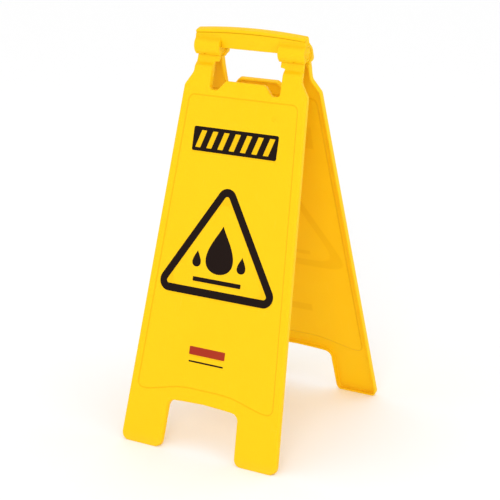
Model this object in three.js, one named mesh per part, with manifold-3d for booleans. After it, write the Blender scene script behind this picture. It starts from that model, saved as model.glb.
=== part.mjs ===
// Folding two-sided floor sign: two hollow-backed moulded panels that hang from one hinge line.
// The rear panel carries a grip bar with two hinge sleeves. A clip-on cover closes the sleeves over
// two drums on the front panel, so the front panel swings about the drums.
//
// Frame: millimetres, +Z up, origin on the floor midway between the feet, hinge line along X.
// Each panel is drawn standing upright, with the hinge line through the origin and its outer face
// looking along -Y, and its group then leans it. v is the height above the hinge line while the
// panel stands upright, so it is negative on the panel. The rear panel's group also turns it round,
// so in the drawings of the grip, sleeves and cover +Y points at the front of the sign.
import * as THREE from "three";
import { mergeVertices } from "three/addons/utils/BufferGeometryUtils.js";
import Module from "manifold-3d";

const wasm = await Module();
wasm.setup();

// ---- Driving dimensions ----
const AXIS_HEIGHT = 609.5;            // hinge line above the floor
const LEAN = THREE.MathUtils.degToRad(15.65); // each panel from the vertical, standing open
const FOOT_WIDTH = 282;               // across the outer corners of the feet
const SHOULDER_WIDTH = 216;           // across the shoulders
const SHOULDER_V = -64;
const NECK_WIDTH = 189;               // across the two arms beside the hand hole
const NECK_V = -43;                   // where the shoulder has run into the neck
const ARM_TOP_V = -27;                // top of the front panel's arms
const ARM_GAP = 124;                  // between the front panel's arms
const REAR_ARM_GAP = 118;             // the rear panel's arms are wider, and show behind the front ones
const WALL = 3;
const FACE_OFFSET = 10.4;             // outer face of a panel from the hinge line
const RIM_DEPTH = 10;                 // outer face to the inner edge of the rim
const FOOT_CORNER = 13;
const NOTCH_TOP_V = -552;             // crown of the arch between the feet
const NOTCH_WIDTH = 126;              // between the feet, under the arch
const NOTCH_FLARE = 4;                // each side of the notch leans out by this at the floor
const NOTCH_RISE = 5;                 // the arch's crown above its springing
const NOTCH_CORNER = 12;
const HUMP_TOP_V = -52.5;             // raised middle of the hand hole's lower edge
const HUMP_WIDTH = 68;
const POCKET_V = -68;                 // the lower edge beside the hump
const POCKET_WIDTH = 96;              // between the inner ends of the two pockets
const FIELD_MARGIN = 13.2;            // the sunk middle field from the panel's sides
const FIELD_TOP_V = -78;
const FIELD_BOTTOM_V = -547;          // lower corners of the field
const FIELD_ARCH = 16;                // the field's lower edge rises by this in the middle
const FIELD_CORNER = 10;
const FIELD_ARCH_RADII = [600, 130, 50]; // crown, haunches and shoulders of the field's lower edge
const FIELD_DEPTH = 1;

const SLEEVE_RADIUS = 16.5;
const SLEEVE_INNER_X = 51.3;
const SLEEVE_OUTER_X = 96.5;
const SLEEVE_CHAMFER = 1.5;
const DRUM_RADIUS = 12.8;
const RUNNING_GAP = 0.4;              // drum in sleeve, and leaf beside the slot's edges
const END_WALL = 2.5;                 // closes each end of a sleeve around the drum's journal
const JOURNAL_RADIUS = 10.2;          // the drum's reduced ends
const JOURNAL_SETBACK = 0.8;          // journal ends inside the sleeve ends
const DISH_RADIUS = 8;                // hollow in each journal's end
const DISH_DEPTH = 1.2;
const LEAF_FRONT = -4.4;              // the leaf joins a drum to its arm
const LEAF_BACK = -0.4;
const LEAF_MARGIN = 1.5;              // the leaf's outer edge inside the arm's outer edge
const LEAF_BOTTOM_V = -23.5;          // the leaf stands over the hand hole down to here
const HEEL_ROUND = 5;                 // a sleeve is squared off at the back, below the hinge line

const GRIP_BACK = -FACE_OFFSET;       // the grip bar is flush with the rear panel's outer face
const GRIP_FRONT = 5;
const GRIP_BOTTOM_V = -1;
const GRIP_TOP_V = 32;                // crown of the grip
const GRIP_ARCH = 5.2;                // the crown above the grip's ends
const GRIP_END_X = 95.5;
const GRIP_ROUND = 3;                 // rounding of the grip's long edges
const COVER_DROP = 5;                 // the cover's top edge below the top of the grip
const SPLIT_Y = 1;                    // the cover is what lies in front of this plane
const FIT_GAP = 0.3;                  // between pieces that touch
const PRY_NOTCH_X = 78.5;             // a small notch in each sleeve's lower lip
const PRY_NOTCH_WIDTH = 4.5;
const PRY_NOTCH_HEIGHT = 2.4;

// The print: ink films in the sunk field, a little left of the panel's middle.
const INK = 0.3;
const PRINT_X = -4.5;
const BAND = { v: -145.5, width: 150, height: 38, rail: 5.5, gaps: 7, bar: 11, slant: 9, corner: 3 };
// The triangle's corners, before they are rounded, lie this far outside the field's sides.
const TRIANGLE = { topV: -201, bottomV: -388, overhang: 1.4, stroke: 12.5, corner: 17 };
const DROP = { v: -312, radius: 24, height: 76 };
const SPLASH = { v: -330, radius: 7.5, height: 26, x: 40 };
const FLOOR_LINE = { v: -362, width: 86, height: 7 };
const BADGE = { v: -473, width: 64, height: 13 };
const BADGE_LINE = { v: -490, width: 62, height: 2.6 };

const YELLOW = { color: 0xffcf1c, roughness: 0.42, metalness: 0 };
const DARK_INK = { color: 0x2b1a16, roughness: 0.5, metalness: 0 };
const RED_INK = { color: 0xa8321c, roughness: 0.5, metalness: 0 };

const SLEEVE_LENGTH = SLEEVE_OUTER_X - SLEEVE_INNER_X;
const SLEEVE_X = (SLEEVE_OUTER_X + SLEEVE_INNER_X) / 2;
const BORE_RADIUS = DRUM_RADIUS + RUNNING_GAP;

const ARC_STEP = THREE.MathUtils.degToRad(15);
const FAR = 900;                      // longer than anything it cuts

// ---- Solids ----
function toSolid(geometry) {
  const bare = geometry.clone();
  bare.deleteAttribute("normal");
  bare.deleteAttribute("uv");
  const merged = mergeVertices(bare, 1e-4);
  const triVerts = new Uint32Array(merged.index.array);
  const vertProperties = new Float32Array(merged.attributes.position.array);
  return new wasm.Manifold(new wasm.Mesh({ numProp: 3, vertProperties, triVerts }));
}

function toGeometry(solid) {
  const { vertProperties, triVerts } = solid.getMesh();
  const geometry = new THREE.BufferGeometry();
  geometry.setAttribute("position", new THREE.BufferAttribute(vertProperties, 3));
  geometry.setIndex(new THREE.BufferAttribute(triVerts, 1));
  geometry.computeVertexNormals();
  return geometry;
}

function toMesh(name, solid, material) {
  const mesh = new THREE.Mesh(toGeometry(solid), new THREE.MeshStandardMaterial(material));
  mesh.name = name;
  return mesh;
}

// ---- Outlines, drawn as seen from the front: x across, v up ----
// Points of a closed outline whose corners [x, v, radius] are rounded by arcs.
function roundedOutline(corners) {
  const points = [];
  corners.forEach(([x, v, radius], i) => {
    const here = new THREE.Vector2(x, v);
    const before = corners.at(i - 1);
    const after = corners[(i + 1) % corners.length];
    const back = new THREE.Vector2(before[0], before[1]).sub(here).normalize();
    const ahead = new THREE.Vector2(after[0], after[1]).sub(here).normalize();
    if (!radius) {
      points.push(here);
      return;
    }
    const half = Math.acos(THREE.MathUtils.clamp(back.dot(ahead), -1, 1)) / 2;
    const middle = back.clone().add(ahead).normalize();
    const centre = here.clone().addScaledVector(middle, radius / Math.sin(half));
    const start = here.clone().addScaledVector(back, radius / Math.tan(half)).sub(centre);
    const turn = Math.sign(back.cross(ahead)) * -(Math.PI - 2 * half);
    const steps = Math.max(1, Math.ceil(Math.abs(turn) / ARC_STEP));
    for (let k = 0; k <= steps; k += 1) {
      points.push(start.clone().rotateAround(new THREE.Vector2(), (turn * k) / steps).add(centre));
    }
  });
  return points;
}

// Each corner again on the other side of the middle line, so that the outline is symmetrical.
function mirrored(corners) {
  const left = corners.filter(([x]) => x !== 0).map(([x, v, radius]) => [-x, v, radius]);
  return [...corners, ...left.reverse()];
}

// The outline moved inwards by a distance, each point along the middle of its two edges.
// The outline runs anticlockwise.
function inset(points, distance) {
  return points.map((point, i) => {
    const before = point.clone().sub(points.at(i - 1)).normalize();
    const after = points[(i + 1) % points.length].clone().sub(point).normalize();
    const normal = new THREE.Vector2(-before.y - after.y, before.x + after.x).normalize();
    const reach = distance / (normal.x * -after.y + normal.y * after.x);
    return point.clone().addScaledVector(normal, reach);
  });
}

// An outline in x and v, carried along y from one depth to another.
function slab(points, fromY, toY) {
  const shape = new THREE.Shape(points);
  const geometry = new THREE.ExtrudeGeometry(shape, { depth: toY - fromY, bevelEnabled: false });
  geometry.rotateX(Math.PI / 2);
  geometry.translate(0, toY, 0);
  return toSolid(geometry);
}

// A round bar along x, centred on the hinge line, whose profile is given as [x, radius] pairs.
function turned(profile) {
  const points = profile.map(([x, radius]) => new THREE.Vector2(radius, x));
  const geometry = new THREE.LatheGeometry(points, 48);
  geometry.rotateZ(-Math.PI / 2);
  return geometry;
}

// An outline in y and v, carried along x and centred on x = 0.
function prism(points, length) {
  const shape = new THREE.Shape(points);
  const geometry = new THREE.ExtrudeGeometry(shape, { depth: length, bevelEnabled: false });
  geometry.rotateX(Math.PI / 2);
  geometry.rotateZ(Math.PI / 2);
  return geometry.translate(-length / 2, 0, 0);
}

// A geometry centred on x = 0, once at x and once at -x.
function onBothSides(geometry, x) {
  const right = toSolid(geometry.clone().translate(x, 0, 0));
  const left = toSolid(geometry.clone().translate(-x, 0, 0));
  return right.add(left);
}

// ---- Panels ----
const AXIS_TO_FLOOR = AXIS_HEIGHT / Math.cos(LEAN);
const sideSlope = (FOOT_WIDTH - SHOULDER_WIDTH) / 2 / (AXIS_TO_FLOOR + SHOULDER_V);
const sideX = (v) => SHOULDER_WIDTH / 2 + (SHOULDER_V - v) * sideSlope;
// Low enough for the floor to cut the whole thickness of the foot.
const OUTLINE_BOTTOM_V = -(AXIS_TO_FLOOR + FACE_OFFSET * Math.tan(LEAN));

// The arms end at armTopV, under the drums or inside the sleeves, and stand armGap apart.
function panelOutline(armTopV, armGap) {
  return roundedOutline(
    mirrored([
      [0, NOTCH_TOP_V, 500],
      [NOTCH_WIDTH / 2, NOTCH_TOP_V - NOTCH_RISE, NOTCH_CORNER],
      [NOTCH_WIDTH / 2 + NOTCH_FLARE, OUTLINE_BOTTOM_V, FOOT_CORNER],
      [sideX(OUTLINE_BOTTOM_V), OUTLINE_BOTTOM_V, FOOT_CORNER],
      [SHOULDER_WIDTH / 2, SHOULDER_V, 8],
      [NECK_WIDTH / 2, NECK_V, 12],
      [NECK_WIDTH / 2, armTopV, 0],
      [armGap / 2, armTopV, 0],
      [armGap / 2, POCKET_V, 4],
      [POCKET_WIDTH / 2, POCKET_V, 4],
      [HUMP_WIDTH / 2, HUMP_TOP_V, 8],
    ]),
  );
}

// The sunk field keeps one margin to the sides. Its lower edge is a low arch with round shoulders,
// and a narrow field gets arcs small enough to fit beside each other.
const fieldX = (v) => sideX(v) - FIELD_MARGIN;
function fieldOutline() {
  const bottomX = fieldX(FIELD_BOTTOM_V);
  const [crown, haunch, shoulder] = FIELD_ARCH_RADII;
  return roundedOutline(
    mirrored([
      [0, FIELD_BOTTOM_V + FIELD_ARCH, Math.min(crown, bottomX * 4.9)],
      [bottomX * 0.38, FIELD_BOTTOM_V + FIELD_ARCH * 0.88, Math.min(haunch, bottomX * 1.06)],
      [bottomX * 0.84, FIELD_BOTTOM_V, Math.min(shoulder, bottomX * 0.41)],
      [bottomX, FIELD_BOTTOM_V, FIELD_CORNER],
      [fieldX(FIELD_TOP_V), FIELD_TOP_V, FIELD_CORNER],
    ]),
  );
}

// Everything under a level plane at this height above the floor, as an upright panel sees it.
function belowLevel(height) {
  const geometry = new THREE.BoxGeometry(FAR, FAR, FAR);
  geometry.translate(0, 0, height - AXIS_HEIGHT - FAR / 2);
  geometry.rotateX(LEAN);
  return toSolid(geometry);
}

// A tray: the face, its sunk field, and a rim all round. The feet end flat on the floor.
function panelTray(armTopV, armGap) {
  const outline = panelOutline(armTopV, armGap);
  const field = fieldOutline();
  const innerEdge = RIM_DEPTH - FACE_OFFSET;
  const faceBack = WALL - FACE_OFFSET;
  const hollow = slab(inset(outline, WALL), faceBack, innerEdge + 1)
    .subtract(slab(field, faceBack - 1, faceBack + FIELD_DEPTH))
    .subtract(belowLevel(WALL));
  return slab(outline, -FACE_OFFSET, innerEdge)
    .subtract(hollow)
    .subtract(slab(field, -FACE_OFFSET - 1, FIELD_DEPTH - FACE_OFFSET))
    .subtract(belowLevel(0));
}

// A drum that ends in a journal at each side, with a dish in the journal's end.
function drum() {
  const shoulder = SLEEVE_LENGTH / 2 - END_WALL - RUNNING_GAP;
  const end = SLEEVE_LENGTH / 2 - JOURNAL_SETBACK;
  return turned([
    [DISH_DEPTH - end, 0],
    [DISH_DEPTH - end, DISH_RADIUS],
    [-end, DISH_RADIUS],
    [-end, JOURNAL_RADIUS],
    [-shoulder, JOURNAL_RADIUS],
    [-shoulder, DRUM_RADIUS],
    [shoulder, DRUM_RADIUS],
    [shoulder, JOURNAL_RADIUS],
    [end, JOURNAL_RADIUS],
    [end, DISH_RADIUS],
    [end - DISH_DEPTH, DISH_RADIUS],
    [end - DISH_DEPTH, 0],
  ]);
}

// An upright plate between a drum and its arm, from x = inner to the leaf's outer edge.
function leafPlate(inner, bottomV) {
  const outer = NECK_WIDTH / 2 - LEAF_MARGIN;
  const geometry = new THREE.BoxGeometry(outer - inner, LEAF_BACK - LEAF_FRONT, -bottomV);
  geometry.translate(0, (LEAF_FRONT + LEAF_BACK) / 2, bottomV / 2);
  return onBothSides(geometry, (outer + inner) / 2);
}

// The leaf is as wide as its drum, and runs on down into the arm.
function leaves() {
  const drumInner = SLEEVE_INNER_X + END_WALL + RUNNING_GAP;
  return leafPlate(drumInner, LEAF_BOTTOM_V).add(leafPlate(ARM_GAP / 2, ARM_TOP_V - WALL));
}

function frontPanel() {
  return panelTray(ARM_TOP_V, ARM_GAP).add(onBothSides(drum(), SLEEVE_X)).add(leaves());
}

// ---- Grip, sleeves and cover ----
const gripTopV = (x) => GRIP_TOP_V - GRIP_ARCH * (x / GRIP_END_X) ** 2;

// The grip's top edge from right to left, or a line that runs beside it.
function archPoints(endX, drop) {
  const steps = 16;
  return Array.from({ length: steps + 1 }, (_, k) => {
    const x = endX - (2 * endX * k) / steps;
    return new THREE.Vector2(x, gripTopV(x) - drop);
  });
}

// A flat-bottomed outline under such a line.
function underArch(endX, bottomV, drop) {
  const bottom = [new THREE.Vector2(-endX, bottomV), new THREE.Vector2(endX, bottomV)];
  return [...bottom, ...archPoints(endX, drop)];
}

// The bar from end to end of the sleeves, with its long edges rounded.
function gripBar() {
  const outline = underArch(GRIP_END_X - GRIP_ROUND, GRIP_BOTTOM_V + GRIP_ROUND, GRIP_ROUND);
  const depth = GRIP_FRONT - GRIP_BACK - 2 * GRIP_ROUND;
  const geometry = new THREE.ExtrudeGeometry(new THREE.Shape(outline), {
    depth,
    bevelThickness: GRIP_ROUND,
    bevelSize: GRIP_ROUND,
    bevelSegments: 3,
  });
  geometry.rotateX(Math.PI / 2);
  geometry.translate(0, GRIP_FRONT - GRIP_ROUND, 0);
  return toSolid(geometry);
}

function sleeve() {
  const end = SLEEVE_LENGTH / 2;
  return turned([
    [-end, 0],
    [-end, SLEEVE_RADIUS - SLEEVE_CHAMFER],
    [SLEEVE_CHAMFER - end, SLEEVE_RADIUS],
    [end - SLEEVE_CHAMFER, SLEEVE_RADIUS],
    [end, SLEEVE_RADIUS - SLEEVE_CHAMFER],
    [end, 0],
  ]);
}

// The back of a sleeve below the hinge line, squared off down to the sleeve's underside.
function heel() {
  const outline = roundedOutline([
    [0, 0, 0],
    [-SLEEVE_RADIUS, 0, 0],
    [-SLEEVE_RADIUS, SLEEVE_CHAMFER - SLEEVE_RADIUS, HEEL_ROUND],
    [0, SLEEVE_CHAMFER - SLEEVE_RADIUS, 0],
  ]);
  return prism(outline, SLEEVE_LENGTH - SLEEVE_CHAMFER);
}

function sleeveBore() {
  const wall = SLEEVE_LENGTH / 2 - END_WALL;
  const end = SLEEVE_LENGTH / 2 + FIT_GAP;
  const window = JOURNAL_RADIUS + RUNNING_GAP;
  return turned([
    [-end, 0],
    [-end, window],
    [-wall, window],
    [-wall, BORE_RADIUS],
    [wall, BORE_RADIUS],
    [wall, window],
    [end, window],
    [end, 0],
  ]);
}

// The angle of the cover's lower lip, from straight down towards the front. A leaf that stands
// open rests just behind it.
const LIP_ANGLE = Math.asin((RUNNING_GAP - LEAF_FRONT) / BORE_RADIUS) + 2 * LEAN;

// The wedge that a leaf sweeps between open and folded, out through the sleeve's underside.
function leafSlot() {
  const reach = 2 * SLEEVE_RADIUS;
  const wedge = [
    new THREE.Vector2(0, 0),
    new THREE.Vector2(0, -reach),
    new THREE.Vector2(reach, -reach),
    new THREE.Vector2(reach * Math.sin(LIP_ANGLE), -reach * Math.cos(LIP_ANGLE)),
  ];
  return prism(wedge, SLEEVE_LENGTH + 2 * FIT_GAP);
}

// The hollow inside the grip, open where the cover comes off.
function gripHollow() {
  const outline = underArch(SLEEVE_INNER_X - WALL, GRIP_BOTTOM_V + WALL, COVER_DROP + WALL);
  return slab(outline, GRIP_BACK + WALL, GRIP_FRONT - WALL);
}

// The space of the cover: in front of the split, and under its top edge.
function coverSpace(growth) {
  const outline = underArch(SLEEVE_OUTER_X + 10, -FAR / 2, COVER_DROP - growth);
  return slab(outline, SPLIT_Y - growth, FAR / 2);
}

// A small notch in a sleeve's lower lip, where the cover is prised off.
function pryNotch() {
  const geometry = new THREE.BoxGeometry(PRY_NOTCH_WIDTH, 2 * PRY_NOTCH_HEIGHT, 2 * SLEEVE_RADIUS);
  geometry.translate(0, 0, -SLEEVE_RADIUS);
  return geometry.rotateX(LIP_ANGLE);
}

function gripAndSleeves() {
  return gripBar()
    .add(onBothSides(sleeve(), SLEEVE_X))
    .add(onBothSides(heel(), SLEEVE_X))
    .subtract(gripHollow());
}

const hingeSpace = () => onBothSides(sleeveBore(), SLEEVE_X).add(onBothSides(leafSlot(), SLEEVE_X));

function rearPanel() {
  const grip = gripAndSleeves().subtract(coverSpace(FIT_GAP));
  return panelTray(0, REAR_ARM_GAP).add(grip).subtract(hingeSpace());
}

function handleCover() {
  return gripAndSleeves()
    .intersect(coverSpace(0))
    .subtract(hingeSpace())
    .subtract(onBothSides(pryNotch(), PRY_NOTCH_X));
}

// ---- Print ----
// A film of ink on the sunk field. Its outline and its holes are centred on the print's middle line.
function film(points, holes = []) {
  const place = (outline) => outline.map((point) => new THREE.Vector2(point.x + PRINT_X, point.y));
  const inner = FIELD_DEPTH - FACE_OFFSET - FIT_GAP;
  const whole = slab(place(points), inner - INK, inner);
  return holes.reduce((solid, hole) => solid.subtract(slab(place(hole), inner - 1, inner + 1)), whole);
}

function bar({ v, width, height, corner = 0 }) {
  const right = [[width / 2, v - height / 2, corner], [width / 2, v + height / 2, corner]];
  return roundedOutline([...right, ...right.toReversed().map(([x, y, radius]) => [-x, y, radius])]);
}

// A band of slanted bars between two rails.
function headingBand() {
  const low = BAND.v - BAND.height / 2 + BAND.rail;
  const high = BAND.v + BAND.height / 2 - BAND.rail;
  const length = BAND.width - 2 * BAND.rail - BAND.slant;
  const gap = (length - (BAND.gaps - 1) * BAND.bar) / BAND.gaps;
  const holes = Array.from({ length: BAND.gaps }, (_, k) => {
    const x = BAND.rail - BAND.width / 2 + k * (gap + BAND.bar);
    return [
      new THREE.Vector2(x, low),
      new THREE.Vector2(x + gap, low),
      new THREE.Vector2(x + gap + BAND.slant, high),
      new THREE.Vector2(x + BAND.slant, high),
    ];
  });
  return film(bar(BAND), holes);
}

// A plain triangular ring with rounded corners.
function warningTriangle() {
  const halfWidth = fieldX(TRIANGLE.bottomV) + TRIANGLE.overhang;
  const outline = roundedOutline([
    [halfWidth, TRIANGLE.bottomV, TRIANGLE.corner],
    [0, TRIANGLE.topV, TRIANGLE.corner],
    [-halfWidth, TRIANGLE.bottomV, TRIANGLE.corner],
  ]);
  return film(outline, [inset(outline, TRIANGLE.stroke)]);
}

// A drop of water: round below, drawn out to a point above.
function dropOutline({ v, radius, height }, x = 0) {
  const steps = 28;
  const fullness = 0.69;
  return Array.from({ length: steps }, (_, k) => {
    const turn = (2 * Math.PI * k) / steps;
    const width = (Math.sin(turn) * Math.sin(turn / 2) ** 1.5) / fullness;
    return new THREE.Vector2(x - radius * width, v + (height / 2) * Math.cos(turn));
  });
}

function printOn(side) {
  const films = [
    ["heading_band", headingBand(), DARK_INK],
    ["warning_triangle", warningTriangle(), DARK_INK],
    ["drop", film(dropOutline(DROP)), DARK_INK],
    ["splash_left", film(dropOutline(SPLASH, -SPLASH.x)), DARK_INK],
    ["splash_right", film(dropOutline(SPLASH, SPLASH.x)), DARK_INK],
    ["floor_line", film(bar(FLOOR_LINE)), DARK_INK],
    ["badge", film(bar(BADGE)), RED_INK],
    ["badge_line", film(bar(BADGE_LINE)), DARK_INK],
  ];
  return films.map(([name, solid, ink]) => toMesh(`${side}_print_${name}`, solid, ink));
}

// ---- Assembly ----
function leaned(turn, lean, meshes) {
  const group = new THREE.Group();
  group.position.z = AXIS_HEIGHT;
  group.rotation.set(lean, 0, turn);
  return group.add(...meshes);
}

const front = [toMesh("front_panel", frontPanel(), YELLOW), ...printOn("front")];
const rear = [
  toMesh("rear_panel", rearPanel(), YELLOW),
  toMesh("handle_cover", handleCover(), YELLOW),
  ...printOn("rear"),
];

const floorSign = new THREE.Group();
floorSign.add(leaned(0, -LEAN, front), leaned(Math.PI, LEAN, rear));

export default floorSign;
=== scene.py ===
"""A two-sided folding floor sign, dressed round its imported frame.

Sizes are in millimetres and become metres when a mesh is made. Each panel is drawn upright, as the
CAD draws it: the hinge line runs through the origin along x, v is the height above it, and the
outer face looks along -y. A drawing is then leaned and put in its place by upright_to_place().
"""
import math

import bmesh
import bpy
import numpy as np
from mathutils import Matrix, Vector
from mathutils.geometry import delaunay_2d_cdt


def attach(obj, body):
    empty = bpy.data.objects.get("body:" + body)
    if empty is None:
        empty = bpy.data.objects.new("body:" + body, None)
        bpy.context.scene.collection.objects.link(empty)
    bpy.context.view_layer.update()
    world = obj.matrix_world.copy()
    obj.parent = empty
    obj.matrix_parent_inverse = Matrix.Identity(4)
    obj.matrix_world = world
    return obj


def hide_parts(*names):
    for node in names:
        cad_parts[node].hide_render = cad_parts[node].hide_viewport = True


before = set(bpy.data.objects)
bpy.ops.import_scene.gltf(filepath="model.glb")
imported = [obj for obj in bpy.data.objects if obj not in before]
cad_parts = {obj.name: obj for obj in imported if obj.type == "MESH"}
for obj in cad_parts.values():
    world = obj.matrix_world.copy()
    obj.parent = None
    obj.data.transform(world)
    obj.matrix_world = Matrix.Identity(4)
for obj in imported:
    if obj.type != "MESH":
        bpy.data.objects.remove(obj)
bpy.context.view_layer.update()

# ---- Sizes shared with the CAD ----
LEAN = math.radians(15.65)
HINGE_HEIGHT = 609.5
FACE = -10.4                 # depth of a panel's outer face
LIP = -0.4                   # depth of the rim's inner edge
WALL = 3.0
FOOT_WIDTH = 282.0
SHOULDER_WIDTH = 216.0
SHOULDER_V = -64.0
NECK_WIDTH = 189.0
NECK_V = -43.0
ARM_GAP = 124.0
REAR_ARM_GAP = 118.0
NOTCH_TOP_V = -552.0
NOTCH_WIDTH = 126.0
NOTCH_FLARE = 4.0
NOTCH_RISE = 5.0
HUMP_TOP_V = -52.5
HUMP_WIDTH = 68.0
POCKET_V = -68.0
POCKET_WIDTH = 96.0
FIELD_MARGIN = 13.2
FIELD_TOP_V = -78.0
FIELD_BOTTOM_V = -547.0
FIELD_ARCH = 16.0
FIELD_DEPTH = 1.0
SLEEVE_RADIUS = 16.5
BORE_RADIUS = 13.2
WINDOW_RADIUS = 10.6
SLEEVE_INNER_X = 51.3
SLEEVE_OUTER_X = 96.5
END_WALL = 2.5
DRUM_RADIUS = 12.8
JOURNAL_RADIUS = 10.2
DISH_RADIUS = 8.0
LEAF_INNER_X = 54.2
LEAF_OUTER_X = 93.0
LEAF_TOP_V = -8.0
LEAF_BOTTOM_V = -23.5
LEAF_DEPTH = -4.4
LEAF_CORNER = 1.2
REAR_ARM_TOP_V = -13.4
GRIP_BACK = -10.4
GRIP_FRONT = 5.0
GRIP_BOTTOM_V = -1.0
GRIP_TOP_V = 32.0
GRIP_ARCH = 5.2
GRIP_END_X = 95.5
COVER_DROP = 5.0
COVER_SPLIT = 1.0
LIP_ANGLE = math.asin(4.8 / BORE_RADIUS) + 2 * LEAN
PRY_NOTCH_X = 78.5
GATE = (57.0, -102.5)        # x and v of the witness of the moulding gate
PRINT_X = -4.5

# ---- Finish of the mouldings ----
FACE_ROUND = 2.6             # outer edge of a panel
LIP_ROUND = 1.1              # edges of the rim
FLOOR_ROUND = 2.2            # inside corner between rim and face
FIELD_SLOPE = 1.5            # half the width of the soft step round the field
SUPPORT = 0.35               # flat strip beside a rounding, which keeps the flat beyond it true
POINT_STEP = 5.0             # longest side of an outline
SHARP_ANGLE = math.radians(40)  # a sharper edge isn't smoothed
HOLLOW_CORNER = 6.5          # corners where the hollow ends in the arms
FRONT_HOLLOW_TOP_V = -27.0
REAR_HOLLOW_TOP_V = -17.0
RAMP_BOTTOM_V = -34.0        # where the front arms begin to ramp back to their leaves
RAMP_HEIGHT = 8.5
# Where the painted shade at the foot of the ramp is darkest, and how far it reaches
RAMP_SHADE_V = -30.0
RAMP_SHADE_REACH = 3.2
GATE_RADIUS = 4.2
GATE_FLOOR_RADIUS = 1.8
GATE_DEPTH = 0.5
DRUM_EDGE = 0.8              # rounding of a drum's and a journal's edges
SHOULDER_GAP = 0.4           # room between a drum's shoulder and the end wall
JOURNAL_GAP = 0.8            # how far a journal's end stands inside its window
DISH_DEPTH = 1.2
BACK_SPLIT = COVER_SPLIT - 0.3  # front of the rear moulding, a hair behind the cover
PLATE_BLEND = 7.0            # hollow curve between the cover's plate and a barrel
BACK_BLEND = 3.0             # hollow curve between the grip's back and a barrel
LIP_EDGE = 0.9               # rounding of the cover's lower lip
LIP_EDGE_TURN = 0.018        # where that rounding's middle lies, as an angle past the lip
GROOVE_RISE = 4.6            # from the lip up to the fine groove round the barrel
GROOVE_DEPTH = 0.45
GROOVE_REACH = 0.55
HEEL_V = -15.0               # underside of a sleeve's squared back
HEEL_RADIUS = 5.0
SLOT_BACK = -0.3             # back edge of the slot that a leaf passes through
SLEEVE_END_ROUND = 1.5
BORE_LEAD = 2.0              # how far inside each end wall the bore's next section stands
NOTCH_HALF = 2.6             # half the width of the pry notch in the lip
NOTCH_SIDE = 0.7             # width of each of its sloping sides
NOTCH_LIFT = 2.4


# ---- Camera ----
def make_camera():
    """A long lens from the right of the front panel, a little above the top of the sign."""
    data = bpy.data.cameras.new("camera")
    data.sensor_width = 36
    data.lens = 107.945
    camera = bpy.data.objects.new("camera", data)
    bpy.context.scene.collection.objects.link(camera)
    turn = Matrix.Rotation(math.radians(30.19), 4, "Z")
    tilt = Matrix.Rotation(math.radians(90 - 17.69), 4, "X")
    roll = Matrix.Rotation(math.radians(-0.22), 4, "Z")
    camera.matrix_world = Matrix.Translation((1.141, -1.972, 1.014)) @ turn @ tilt @ roll
    bpy.context.scene.camera = camera


make_camera()


# ---- Outlines: (n, 2) arrays of x and v, anticlockwise ----
def rounded(corners, turn_step=math.radians(9)):
    """A closed outline of arcs. Each arc touches the two sides of its corner, so its centre lies on
    their bisector at radius / sin(half the angle), and its points turn about that centre."""
    corners = np.array(corners, float)
    here = corners[:, :2]
    back = np.roll(here, 1, axis=0) - here
    ahead = np.roll(here, -1, axis=0) - here
    back /= np.linalg.norm(back, axis=1)[:, None]
    ahead /= np.linalg.norm(ahead, axis=1)[:, None]
    half = np.arccos(np.clip((back * ahead).sum(1), -1, 1)) / 2
    bend = np.sign(ahead[:, 0] * back[:, 1] - ahead[:, 1] * back[:, 0])
    parts = []
    for i, radius in enumerate(corners[:, 2]):
        if radius == 0:
            parts.append(here[i : i + 1])
            continue
        middle = back[i] + ahead[i]
        centre = here[i] + middle / np.linalg.norm(middle) * radius / math.sin(half[i])
        start = here[i] + back[i] * radius / math.tan(half[i]) - centre
        sweep = bend[i] * (math.pi - 2 * half[i])
        angle = np.linspace(0, sweep, 2 + int(abs(sweep) / turn_step))
        x = start[0] * np.cos(angle) - start[1] * np.sin(angle)
        v = start[0] * np.sin(angle) + start[1] * np.cos(angle)
        parts.append(np.stack([x, v], 1) + centre)
    return np.concatenate(parts)


def mirrored(corners):
    """The corners again on the other side of the middle line."""
    left = [(-x, v, radius) for x, v, radius in corners if x != 0]
    return corners + left[::-1]


def stepped(points, longest=POINT_STEP):
    """The same outline with long sides divided evenly."""
    after = np.roll(points, -1, axis=0)
    counts = np.maximum(1, np.ceil(np.linalg.norm(after - points, axis=1) / longest)).astype(int)
    start = np.repeat(np.arange(len(points)), counts)
    within = np.arange(len(start)) - np.repeat(np.cumsum(counts) - counts, counts)
    share = (within / counts[start])[:, None]
    return points[start] * (1 - share) + after[start] * share


def inset(points, distance):
    """Each point moved inwards along the middle of its two sides, by distance from both sides."""
    before = points - np.roll(points, 1, axis=0)
    after = np.roll(points, -1, axis=0) - points
    before /= np.linalg.norm(before, axis=1)[:, None]
    after /= np.linalg.norm(after, axis=1)[:, None]
    normal = np.stack([-before[:, 1] - after[:, 1], before[:, 0] + after[:, 0]], 1)
    normal /= np.linalg.norm(normal, axis=1)[:, None]
    reach = distance / (normal[:, 1] * after[:, 0] - normal[:, 0] * after[:, 1])
    return points + normal * reach[:, None]


def circle(radius, centre=(0, 0), count=40):
    """Points evenly round a circle."""
    angle = np.arange(count) * 2 * math.pi / count
    return np.stack([radius * np.cos(angle) + centre[0], radius * np.sin(angle) + centre[1]], 1)


def ease(t):
    """0 below 0, 1 above 1 and level at both ends: 3t^2 - 2t^3."""
    t = np.clip(t, 0, 1)
    return t * t * (3 - 2 * t)


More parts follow.
